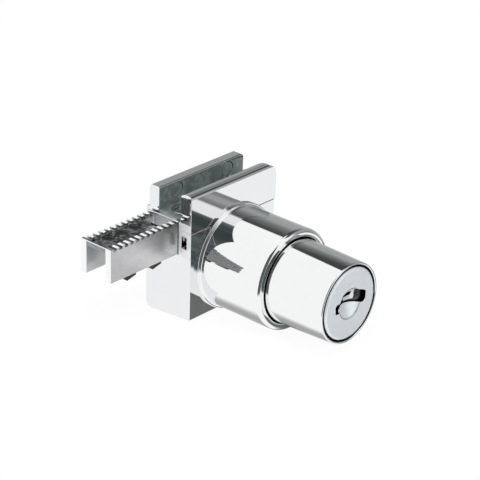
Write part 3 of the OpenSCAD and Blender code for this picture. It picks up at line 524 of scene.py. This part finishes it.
def settled(mesh, *modifiers):
    """The mesh after the given modifiers: (kind, {setting: value})."""
    holder = added("settling", mesh)
    for kind, settings in modifiers:
        modifier = holder.modifiers.new(kind.lower(), kind)
        for key, value in settings.items():
            setattr(modifier, key, value)
    bpy.context.view_layer.update()
    graph = bpy.context.evaluated_depsgraph_get()
    result = bpy.data.meshes.new_from_object(holder.evaluated_get(graph), depsgraph=graph)
    bpy.data.objects.remove(holder)
    bpy.data.meshes.remove(mesh)
    return result


def rounded(mesh, width, steps, angle=40.0):
    """Rounds edges sharper than angle, and weights the normals so that flats stay flat."""
    mesh.shade_smooth()
    bevel = {"width": width, "segments": steps, "limit_method": "ANGLE",
             "angle_limit": math.radians(angle), "use_clamp_overlap": False,
             "harden_normals": False, "miter_outer": "MITER_ARC"}
    return settled(mesh, ("BEVEL", bevel),
                   ("WEIGHTED_NORMAL", {"keep_sharp": True, "weight": 60}))


def welded_copy(node):
    """A clean mesh of a CAD node: vertices joined, flat areas made single faces."""
    work = bmesh.new()
    work.from_mesh(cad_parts[node].data)
    bmesh.ops.remove_doubles(work, verts=work.verts, dist=0.002 * MM)
    bmesh.ops.dissolve_limit(work, angle_limit=math.radians(0.3), verts=work.verts,
                             edges=work.edges)
    mesh = mesh_from(work, node + "_clean")
    mesh.normals_split_custom_set([(0.0, 0.0, 0.0)] * len(mesh.loops))
    return mesh


def rounded_node(name, node, width, body, slot, steps=2, **limits):
    """A rounded piece that stands for one CAD node."""
    place_piece(name, rounded(welded_copy(node), width, steps, **limits), body, slot, node)


def crowned(mesh, top, back, front, middle, radius, corner, corner_r):
    """The mesh with its flat top, from y = back to y = front, bowed to radius about
    y = middle. The bow fades out over the front rounding, and follows the round corner
    whose centre (x, z) is given."""
    strips, skin = 8, 0.7  # cuts across the top; from this share of corner_r it is outside
    work = bmesh.new()
    work.from_mesh(mesh)
    for i in range(1, strips + 1):
        at = Vector((0, back + (front - back) * i / strips, 0))
        bmesh.ops.bisect_plane(work, geom=[*work.verts, *work.edges, *work.faces],
                               plane_co=at, plane_no=Vector((0, 1, 0)))
    rounding = front - min(v.co.y for v in work.verts)
    lowest = top - rounding - 0.01 * MM
    for vertex in work.verts:
        x, y, z = vertex.co
        share = min(1.0, max(0.0, (y - front + rounding) / rounding))
        off = min(max(y, front), back) - middle
        drop = share * (radius - math.sqrt(radius ** 2 - off ** 2))
        out = Vector((max(0.0, x - corner[0]), 0, z - corner[1]))
        on_skin = z > corner[1] and out.length > corner_r * skin
        if on_skin and (x > corner[0] or z > lowest):
            out.normalize()
            vertex.co -= out * drop
    work.to_mesh(mesh)
    work.free()
    return mesh


def arc(cx, cy, radius, start, end, steps):
    """Points on an arc, angles in degrees."""
    angles = [math.radians(start + (end - start) * i / steps) for i in range(steps + 1)]
    return [(cx + radius * math.cos(a), cy + radius * math.sin(a)) for a in angles]


def turned_mesh(name, profile, axis_point, steps):
    """A closed ring turned about the -Y axis through axis_point; the profile's points are
    (radius, distance in front)."""
    work = bmesh.new()
    rings = []
    for i in range(steps):
        angle = 2 * math.pi * i / steps
        rings.append([work.verts.new((axis_point[0] + r * math.cos(angle), axis_point[1] - h,
                                      axis_point[2] + r * math.sin(angle)))
                      for r, h in profile])
    for i in range(steps):
        here, there = rings[i], rings[(i + 1) % steps]
        for j in range(len(profile)):
            k = (j + 1) % len(profile)
            work.faces.new((here[j], here[k], there[k], there[j]))
    bmesh.ops.recalc_face_normals(work, faces=work.faces)
    return mesh_from(work, name)


def box_mesh(name, low, high):
    """A block between two corners."""
    work = bmesh.new()
    bmesh.ops.create_cube(work, size=1.0)
    for vertex in work.verts:
        for i in range(3):
            vertex.co[i] = low[i] if vertex.co[i] < 0 else high[i]
    return mesh_from(work, name)


def rod_mesh(name, start, end, radius):
    """A closed round rod from start to end."""
    work = bmesh.new()
    turn = (end - start).to_track_quat("Z", "Y").to_matrix().to_4x4()
    bmesh.ops.create_cone(work, cap_ends=True, segments=64, radius1=radius, radius2=radius,
                          depth=(end - start).length,
                          matrix=Matrix.Translation((start + end) / 2) @ turn)
    return mesh_from(work, name)


def cut_mesh(mesh, cutters):
    """The mesh less each cutter mesh, with smooth shading up to its edges."""
    helpers = [added("cutter", cutter) for cutter in cutters]
    result = settled(mesh, *[("BOOLEAN", {"operation": "DIFFERENCE", "solver": "EXACT",
                                          "object": helper}) for helper in helpers])
    for helper in helpers:
        cutter = helper.data
        bpy.data.objects.remove(helper)
        bpy.data.meshes.remove(cutter)
    result.shade_smooth()
    result.set_sharp_from_angle(angle=math.radians(30.0))
    return result


def barrel_axis():
    """The point of the barrel axis on the block's front face."""
    low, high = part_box("outer_sleeve")
    return Vector(((low.x + high.x) / 2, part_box("front_jaw")[0].y, (low.z + high.z) / 2))


class DoorLockPiece:
    """What every operator of this file shares."""
    bl_options = {"REGISTER", "UNDO"}

    @property
    def sizes(self):
        return bpy.context.scene.door_lock_sizes


class DOORLOCK_OT_block(DoorLockPiece, bpy.types.Operator):
    """Builds the cast block, its front jaw and the rear cover with its screws"""
    bl_idname = "doorlock.block"
    bl_label = "Block and jaw"

    def execute(self, context):
        cast, fine = self.sizes.cast_edge, self.sizes.fine_edge
        rounded_node("cast_block", "housing", cast, "block", "chrome_block", 3)
        low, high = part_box("front_jaw")
        corner_r, rear_rounding, front_rounding, bow_middle = (
            v * MM for v in (3, 0.2, 0.8, 1.55))
        jaw = crowned(welded_copy("front_jaw"), high.z, high.y - rear_rounding,
                      low.y + front_rounding, low.y + bow_middle, self.sizes.jaw_crown,
                      (high.x - corner_r, high.z - corner_r), corner_r)
        place_piece("jaw_plate", rounded(jaw, cast, 3), "block", "chrome_block", "front_jaw")
        rounded_node("cavity_cover", "rear_cover", fine, "block", "chrome_block")
        rounded_node("cavity_cover_screws", "cover_screws", fine, "block", "steel_screw", 1)
        return {"FINISHED"}


class DOORLOCK_OT_lining(DoorLockPiece, bpy.types.Operator):
    """Builds the jaw's lining strip and the buttons in the seat"""
    bl_idname = "doorlock.lining"
    bl_label = "Lining and seat buttons"

    def execute(self, context):
        rounded_node("lining_strip", "glass_pad", self.sizes.cast_edge, "block", "dark_lining")
        rounded_node("seat_pads", "seat_buttons", self.sizes.fine_edge, "block",
                     "chrome_button", angle=35.0)
        return {"FINISHED"}


class DOORLOCK_OT_clamps(DoorLockPiece, bpy.types.Operator):
    """Builds the clamp screws and their swivel tips"""
    bl_idname = "doorlock.clamps"
    bl_label = "Clamp screws"

    def execute(self, context):
        fine = self.sizes.fine_edge
        for side in ("left", "right"):
            screw, tip = f"screw_{side}", f"tip_{side}"
            rounded_node(screw + "_body", "clamp_" + screw, fine, screw, "steel_screw")
            rounded_node(tip + "_disc", "clamp_" + tip, fine, tip, "steel_part")
        return {"FINISHED"}


class DOORLOCK_OT_barrels(DoorLockPiece, bpy.types.Operator):
    """Turns the guide sleeve with its collar, and the push barrel with its rolled rim"""
    bl_idname = "doorlock.barrels"
    bl_label = "Sleeve and push barrel"

    def execute(self, context):
        catch_h = 8 * MM  # from the barrel's foot to the catch and the guide pin
        self.axis = barrel_axis()
        self.catch = self.axis + Vector((0, -catch_h, 0))
        self.sleeve_l = self.axis.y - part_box("outer_sleeve")[0].y
        self.turn_piece("guide_sleeve", self.sleeve_profile(), self.sleeve_cutters(), "block",
                        "outer_sleeve")
        self.turn_piece("nose_barrel", self.barrel_profile(), self.barrel_cutters(), "push",
                        "push_barrel")
        rounded_node("guide_pin_end", "guide_pin", self.sizes.fine_edge, "block", "steel_pin")
        return {"FINISHED"}

    def turn_piece(self, name, profile, cutters, body, node):
        """Turns a profile, cuts it and places it for its CAD node."""
        mesh = turned_mesh(name, profile, self.axis, self.sizes.turn_steps)
        place_piece(name, cut_mesh(mesh, cutters), body, "chrome_barrel", node)

    def rod(self, name, start, end, radius):
        """A cutter round the line between two points, in mm from the catch."""
        start, end = (self.catch + Vector(point) * MM for point in (start, end))
        return rod_mesh(name, start, end, radius * MM)

    def box(self, name, low, high):
        """A cutter between two corners, in mm from the barrel's foot."""
        return box_mesh(name, *(self.axis + Vector(corner) * MM for corner in (low, high)))

    def sleeve_profile(self):
        """Spigot, collar, foot fillet, outer rim and the rounded mouth of the bore."""
        low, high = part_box("outer_sleeve")
        collar_r, spigot_l = (high.x - low.x) / 2, high.y - self.axis.y
        sleeve_r, collar_t, bore_r, spigot_r = 12.65 * MM, 0.8 * MM, 10.53 * MM, 11.65 * MM
        brow, mouth = 0.25 * MM, 0.5 * MM
        rim, foot, sleeve_l = self.sizes.sleeve_rim, self.sizes.sleeve_foot, self.sleeve_l
        return [(bore_r, -spigot_l), (spigot_r, -spigot_l), (spigot_r, 0), (collar_r, 0),
                *arc(collar_r - brow, collar_t - brow, brow, 0, 90, 8),
                *arc(sleeve_r + foot, collar_t + foot, foot, 270, 180, 10),
                *arc(sleeve_r - rim, sleeve_l - rim, rim, 0, 90, 20),
                *arc(bore_r + mouth, sleeve_l - mouth, mouth, 90, 180, 10)]

    def sleeve_cutters(self):
        """The catch's groove and pocket, and the guide pin's hole."""
        return [self.box("groove", (-1.4, -9.35, -11.35), (1.4, -1.65, -9)),
                self.rod("pocket", (0, 5, -12.0), (0, 5, -9), 1.4),
                self.rod("pin_hole", (9, 0, 0), (14, 0, 0), 1.02)]

    def barrel_profile(self):
        """Nose with its rolled rim, the core's bore, the partition and the rear cavity with
        the ring's groove."""
        axis = self.axis
        low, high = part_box("push_barrel")
        plug_low, plug_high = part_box("key_plug")
        push_r, rim_h, rear_h = (high.x - low.x) / 2, axis.y - low.y, axis.y - high.y
        face_r, face_h = (plug_high.x - plug_low.x) / 2, axis.y - plug_low.y
        head_h = face_h - 2.0 * MM
        shell_h, wall_h = head_h - 0.05 * MM, face_h - 22.55 * MM
        disc_h, ring_h = 5.27 * MM, 3.1 * MM
        rim_r, core_r, hole_r = 10.0 * MM, 8.3 * MM, 3.0 * MM
        cavity_r, ring_r = 7.9 * MM, 8.8 * MM
        chamfer, wall_t, bead = 0.3 * MM, 1.2 * MM, self.sizes.rim_bead
        gap_r, seat_r = face_r + 0.4 * MM, face_r + 0.08 * MM
        ledge_h, ring_h0, ring_h1 = head_h + 0.9 * MM, ring_h - 0.03 * MM, ring_h + 0.63 * MM
        return [(push_r - chamfer, rear_h), (push_r, rear_h + chamfer),
                (push_r, self.sleeve_l + 0.3 * MM),
                *arc(rim_r - bead, rim_h - bead, bead, 3, 90, 10),
                *arc(gap_r + bead, rim_h - bead, bead, 90, 180, 10),
                (gap_r, ledge_h), (seat_r, ledge_h), (seat_r, shell_h), (core_r, shell_h),
                (core_r, wall_h), (hole_r, wall_h), (hole_r, wall_h - wall_t),
                (cavity_r, wall_h - wall_t), (cavity_r, disc_h), (core_r, disc_h),
                (core_r, ring_h1), (ring_r, ring_h1), (ring_r, ring_h0), (core_r, ring_h0),
                (core_r, rear_h)]

    def barrel_cutters(self):
        """The catch's hole, the guide pin's slot and the core pin's hole."""
        return [self.rod("catch_hole", (0, 0, -12), (0, 0, -7), 1.26),
                self.box("guide_slot", (9.25, -14.1, -1.08), (12, -6.9, 1.08)),
                self.rod("core_pin_hole", (0, -7.8, 7), (0, -7.8, 12), 1.02)]


class DOORLOCK_OT_key_face(DoorLockPiece, bpy.types.Operator):
    """Builds the key plug with its dished satin face and keyway"""
    bl_idname = "doorlock.key_face"
    bl_label = "Key plug"

    def execute(self, context):
        rounded_node("plug_face", "key_plug", self.sizes.fine_edge, "core", "satin_face")
        return {"FINISHED"}


class DOORLOCK_OT_rack(DoorLockPiece, bpy.types.Operator):
    """Builds the toothed rack and its black liner"""
    bl_idname = "doorlock.rack"
    bl_label = "Rack and liner"

    def execute(self, context):
        rounded_node("toothed_rack", "rack_bar", self.sizes.rack_edge, "rail", "chrome_rack")
        rounded_node("liner_studs_and_feet", "rack_liner", self.sizes.fine_edge, "rail",
                     "black_plastic")
        return {"FINISHED"}


class DOORLOCK_OT_inner_parts(DoorLockPiece, bpy.types.Operator):
    """Gives the carried-over inner parts their finishes"""
    bl_idname = "doorlock.inner_parts"
    bl_label = "Inner parts"

    def execute(self, context):
        inner = {
            "steel_pin": ("jaw_pins", "core_pin"),
            "steel_part": ("bolt_carrier", "locking_comb", "release_cam", "catch_pin"),
            "steel_screw": ("comb_screw", "cam_screw"),
            "spring_wire": ("carrier_ring", "return_spring", "wafer_springs", "catch_spring"),
            "brass": ("core_shell", "wafers")}
        for slot, nodes in inner.items():
            for node in nodes:
                give_finish(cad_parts[node].data, slot)
        return {"FINISHED"}


class DOORLOCK_OT_stage(DoorLockPiece, bpy.types.Operator):
    """Sets the floor, the surroundings, the lamps and the camera"""
    bl_idname = "doorlock.stage"
    bl_label = "Stage"

    def execute(self, context):
        look = context.scene.door_lock_stage
        self.make_floor(CAD_LOW.z - look.floor_drop)
        self.make_surroundings(context.scene)
        self.make_lamp("key_lamp", place=(-0.35, -0.45, 0.75), power=5.0)
        self.make_lamp("fill_lamp", place=(-0.8, 0.35, 0.5), power=3.0)
        self.make_camera(context.scene, look)
        context.scene.view_settings.view_transform = "Standard"
        return {"FINISHED"}

    def make_floor(self, height):
        """A pale floor. Polished metal sees on it only a painted shadow under the barrel, a dark
        glowing patch, and elsewhere what lies beyond the floor."""
        reach = 3
        camera_glow = 0.94  # share of white in what the camera sees, the rest is lit floor
        painted_shadow_x, painted_shadow_y = (2.5 * MM, 7.5 * MM), (-21.0 * MM, 12.0 * MM)  # middle, half width
        mesh = bpy.data.meshes.new("floor")
        mesh.from_pydata([(-reach, -reach, height), (reach, -reach, height),
                          (reach, reach, height), (-reach, reach, height)], [], [(0, 1, 2, 3)])
        floor = added("floor", mesh)
        material = bpy.data.materials.new("pale_floor")
        material.use_nodes = True
        tree = material.node_tree
        tree.nodes.clear()
        path = tree.nodes.new("ShaderNodeLightPath").outputs
        soft = fed_node(tree, "ShaderNodeBsdfDiffuse", {}, ("Color",),
                        ((0.85, 0.86, 0.87, 1),)).outputs["BSDF"]
        glow = tree.nodes.new("ShaderNodeEmission").outputs["Emission"]
        glow_share = math_node(tree, "MULTIPLY", path["Is Camera Ray"], camera_glow)
        lit = mix_shaders(tree, glow_share, soft, glow)

        parts = parts_of(tree, surface_point(tree))
        squares = []
        for place, (middle, half) in ((parts["X"], painted_shadow_x), (parts["Y"], painted_shadow_y)):
            off = math_node(tree, "DIVIDE", math_node(tree, "SUBTRACT", place, middle), half)
            squares.append(math_node(tree, "MULTIPLY", off, off))
        # painted shadow: a dark glow under the barrel, seen only by polished metal and glass
        pool = span(tree, math_node(tree, "ADD", *squares), 0.35, 1.3, 1.0, 0.0, smooth=True)
        dark = fed_node(tree, "ShaderNodeEmission", {}, ("Color",),
                        ((0.13, 0.145, 0.14, 1),)).outputs["Emission"]
        beyond = tree.nodes.new("ShaderNodeBsdfTransparent").outputs["BSDF"]
        whole = mix_shaders(tree, self.mirrored_share(tree, path), lit,
                            mix_shaders(tree, pool, beyond, dark))
        fed_node(tree, "ShaderNodeOutputMaterial", {}, ("Surface",), (whole,))
        mesh.materials.append(material)

    def mirrored_share(self, tree, path):
        """1 for what polished metal or glass shows."""
        return math_node(tree, "ADD", path["Is Glossy Ray"], path["Is Transmission Ray"])

    def make_surroundings(self, scene):
        """White surroundings for the camera, pale light for matt surfaces. What polished metal
        sees is built up in layers by bearing and rise in degrees. The bearing runs clockwise
        from +Y, and for the room in front from -Y."""
        world = bpy.data.worlds.new("studio")
        scene.world = world
        world.use_nodes = True
        tree = world.node_tree
        tree.nodes.clear()
        path = tree.nodes.new("ShaderNodeLightPath").outputs
        way = tree.nodes.new("ShaderNodeTexCoord").outputs["Generated"]
        parts = parts_of(tree, way)
        east, north = parts["X"], parts["Y"]
        bearing = math_node(tree, "ARCTAN2", east, north)
        from_front = math_node(tree, "ARCTAN2", math_node(tree, "MULTIPLY", east, -1.0),
                               math_node(tree, "MULTIPLY", north, -1.0))
        rise = math_node(tree, "ARCSINE", parts["Z"])

        def between(value, ends, softness):
            """1 between two angles, with a soft step at each end."""
            (low, high), (soft_low, soft_high) = (map(math.radians, pair)
                                                  for pair in (ends, softness))
            up = span(tree, value, low - soft_low, low + soft_low, smooth=True)
            down = span(tree, value, high - soft_high, high + soft_high, 1.0, 0.0, smooth=True)
            return math_node(tree, "MULTIPLY", up, down)

        def area(angle, across, across_soft, up, up_soft):
            """A part of the surroundings: its ends across and up, and how soft they are."""
            return math_node(tree, "MULTIPLY", between(angle, across, across_soft),
                             between(rise, up, up_soft))

        def spot(bearing_at, rise_at, whole, edge):
            """1 within whole degrees of a direction, 0 beyond edge degrees."""
            b, r, whole, edge = map(math.radians, (bearing_at, rise_at, whole, edge))
            centre = math.sin(b) * math.cos(r), math.cos(b) * math.cos(r), math.sin(r)
            near = vector_node(tree, "DOT_PRODUCT", way, centre).outputs["Value"]
            return span(tree, near, math.cos(edge), math.cos(whole), smooth=True)

        def ramp(*stops):
            """Grey by rise: (degrees, tone)."""
            node = tree.nodes.new("ShaderNodeValToRGB")
            low, high = stops[0][0], stops[-1][0]
            feed(tree, node.inputs["Fac"], span(tree, rise, math.radians(low),
                                                math.radians(high)))
            elements = node.color_ramp.elements
            while len(elements) < len(stops):
                elements.new(0.5)
            for element, (at, tone) in zip(elements, stops):
                element.position = (at - low) / (high - low)
                element.color = (tone * 0.96, tone, tone, 1)
            return node.outputs["Color"]

        wall_tone = ramp((-30, 0.66), (-8, 0.5), (4, 0.38), (24, 0.36), (30, 0.24), (37, 0.16),
                         (47, 0.065), (60, 0.05))
        side_tone = ramp((-18, 0.22), (4, 0.27), (15, 0.4), (24, 0.4), (32, 0.27), (40, 0.16),
                         (50, 0.07), (66, 0.05))
        mottle = span(tree, noise_node(tree, way, 16.0, 4.0, 0.65), 0.38, 0.62)
        room_tone = mix_node(tree, mottle, (0.045, 0.055, 0.052), (0.145, 0.17, 0.165))
        layers = (
            # a grey spot on the ground, the wall at the right, its side and the side's top
            (spot(26, -55, 2, 29), (0.4, 0.41, 0.41)),
            (area(bearing, (31, 118), (1.5, 8), (-42, 66), (5, 5)), wall_tone),
            (area(bearing, (110, 138), (8, 4), (-18, 66), (5, 4)), side_tone),
            (area(bearing, (130, 146), (4, 3), (24, 62), (5, 4)), side_tone),
            # the dark foot of the wall, and the foot of its side
            (area(bearing, (62, 120), (4, 3), (-48, -17), (5, 3)), (0.03, 0.033, 0.033)),
            (area(bearing, (118, 145), (4, 4), (-36, -26.3), (4, 0.9)), (0.15, 0.165, 0.16)),
            # the mottled room in front, and its darker top
            (area(from_front, (-2, 72), (1.5, 6), (-24, 60), (4, 2)), room_tone),
            (area(from_front, (8, 60), (8, 8), (38, 54), (8, 4)), (0.05, 0.06, 0.057)))
        seen = 1, 1, 1
        for share, tone in layers:
            seen = mix_node(tree, share, seen, tone)
        light = mix_node(tree, self.mirrored_share(tree, path), (0.8, 0.8, 0.8), seen)
        background = fed_node(tree, "ShaderNodeBackground", {}, ("Color",),
                              (mix_node(tree, path["Is Camera Ray"], light, (1, 1, 1)),))
        fed_node(tree, "ShaderNodeOutputWorld", {}, ("Surface",),
                 (background.outputs["Background"],))

    def make_lamp(self, name, place, power):
        """A soft round lamp that shines on the lock and isn't mirrored in it."""
        data = bpy.data.lights.new(name, "AREA")
        data.shape, data.size, data.energy = "DISK", 0.5, power
        lamp = added(name, data)
        lamp.location = place
        lamp.rotation_mode = "QUATERNION"
        lamp.rotation_quaternion = (-Vector(place)).to_track_quat("-Z", "Y")
        lamp.visible_glossy = False

    def make_camera(self, scene, look):
        """The camera at the photograph's place, found from the edges and circles it shows."""
        back = Vector((math.sin(look.azimuth) * math.cos(look.elevation),
                       -math.cos(look.azimuth) * math.cos(look.elevation),
                       math.sin(look.elevation)))
        level = Vector((math.cos(look.azimuth), math.sin(look.azimuth), 0))
        over = back.cross(level)
        right = math.cos(look.roll) * level + math.sin(look.roll) * over
        up = -math.sin(look.roll) * level + math.cos(look.roll) * over
        aim_right, aim_up = 1.46, 3.56  # mm from the barrel's foot to the picture's middle
        data = bpy.data.cameras.new("camera")
        data.sensor_width, data.sensor_fit, data.lens = 36.0, "HORIZONTAL", look.lens
        data.clip_start, data.clip_end = 0.01, 20.0
        camera = added("camera", data)
        place = (barrel_axis() + (aim_right * right + aim_up * up) * MM
                 + look.distance * back)
        turn = Matrix((right, up, back)).transposed().to_4x4()
        camera.matrix_world = Matrix.Translation(place) @ turn
        scene.camera = camera


class DOORLOCK_PT_panel(bpy.types.Panel):
    """Lists the pieces of the lock and the values that they use"""
    bl_idname = "DOORLOCK_PT_panel"
    bl_label = "Glass door push lock"
    bl_space_type = "VIEW_3D"
    bl_region_type = "UI"
    bl_category = "Door lock"

    def draw(self, context):
        for operator in OPERATORS:
            self.layout.operator(operator.bl_idname)
        for group in (getattr(context.scene, name) for name in VALUES):
            box = self.layout.box()
            for name in group.bl_rna.properties.keys():
                if name not in {"rna_type", "name"}:
                    box.prop(group, name)


OPERATORS = (DOORLOCK_OT_block, DOORLOCK_OT_lining, DOORLOCK_OT_clamps, DOORLOCK_OT_barrels,
             DOORLOCK_OT_key_face, DOORLOCK_OT_rack, DOORLOCK_OT_inner_parts,
             DOORLOCK_OT_stage)
VALUES = {"door_lock_sizes": DoorLockSizes, "door_lock_colours": DoorLockColours,
          "door_lock_stage": DoorLockStage}


def register():
    for cls in (*VALUES.values(), *OPERATORS, DOORLOCK_PT_panel):
        bpy.utils.register_class(cls)
    for name, cls in VALUES.items():
        setattr(bpy.types.Scene, name, PointerProperty(type=cls))


def unregister():
    for name in VALUES:
        delattr(bpy.types.Scene, name)
    for cls in (DOORLOCK_PT_panel, *reversed(OPERATORS), *VALUES.values()):
        bpy.utils.unregister_class(cls)


def main():
    register()
    for operator in OPERATORS:
        group, name = operator.bl_idname.split(".")
        getattr(getattr(bpy.ops, group), name)()


if __name__ == "__main__":
    main()
